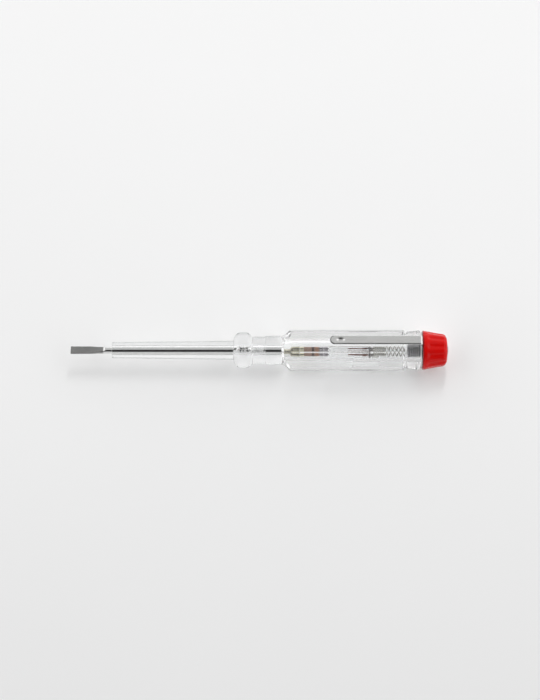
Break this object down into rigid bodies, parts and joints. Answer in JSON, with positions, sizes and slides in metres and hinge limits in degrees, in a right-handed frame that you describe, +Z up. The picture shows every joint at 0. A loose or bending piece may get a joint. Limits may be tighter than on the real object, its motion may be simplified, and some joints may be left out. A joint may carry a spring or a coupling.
{
  "type": "voltage tester screwdriver",
  "caption": "Flat-blade voltage tester screwdriver with sleeved blade, clear hexagonal handle showing its lamp circuit, pocket clip and red screw cap.",
  "frame": {"origin": "on the surface that the tool lies on, under the middle of its length and its axis", "axes": "+X along the tool from the blade's tip to the cap, +Z up through the facet that carries the clip, +Y across the handle"},
  "size_m": [0.14, 0.0166, 0.016],
  "materials": {
    "clear_plastic": "clear, polished, moulded",
    "sleeve_plastic": "clear, glossy, extruded",
    "plated_steel": "bright nickel plate, greyer on the forged tip",
    "contact_brass": "aged, olive brown",
    "resistor_lacquer": "brown lacquer with darker bands",
    "tinned_caps": "tinned, satin",
    "lamp_glass": "clear",
    "stem_glass": "cloudy, fused",
    "lead_wire": "tinned",
    "electrode_metal": "coated, reddish brown",
    "spring_wire": "bright drawn wire",
    "stud_metal": "plated, turned",
    "red_plastic": "glossy, moulded",
    "clip_steel": "satin, plated sheet"
  },
  "bodies": {
    "handle": {"handle": "clear_plastic", "blade": "plated_steel", "blade_sleeve": "sleeve_plastic", "front_contact": "contact_brass", "resistor_body": "resistor_lacquer", "resistor_cap_front": "tinned_caps", "resistor_cap_rear": "tinned_caps", "lamp_cap_front": "tinned_caps", "lamp_cap_rear": "tinned_caps", "lamp_glass": "lamp_glass", "lamp_stem": "stem_glass", "lamp_lead": "lead_wire", "lamp_electrode_a": "electrode_metal", "lamp_electrode_b": "electrode_metal", "contact_spring": "spring_wire"},
    "clip_base": {"clip_ring": "clip_steel"},
    "clip_arm": {"clip_arm": "clip_steel"},
    "cap": {"cap": "red_plastic", "contact_stud": "stud_metal"}
  },
  "joints": [
    {"name": "cap_travel", "type": "slide", "parent": "handle", "child": "clip_base", "axis": [1, 0, 0], "range_m": [0, 0.0048], "deforming": ["contact_spring"]},
    {"name": "cap_turn", "type": "hinge", "parent": "clip_base", "child": "cap", "pos_m": [0.0604, 0, 0.0075], "axis": [1, 0, 0], "range_deg": [0, 2305]},
    {"name": "clip_flex", "type": "hinge", "parent": "clip_base", "child": "clip_arm", "pos_m": [0.05975, 0, 0.0158], "axis": [0, 1, 0], "range_deg": [0, 6], "stiffness_Nm_per_rad": 0.5}
  ],
  "couplings": [
    {"joint": "cap_turn", "follows": "cap_travel", "rad_per_m": 8377.6}
  ]
}
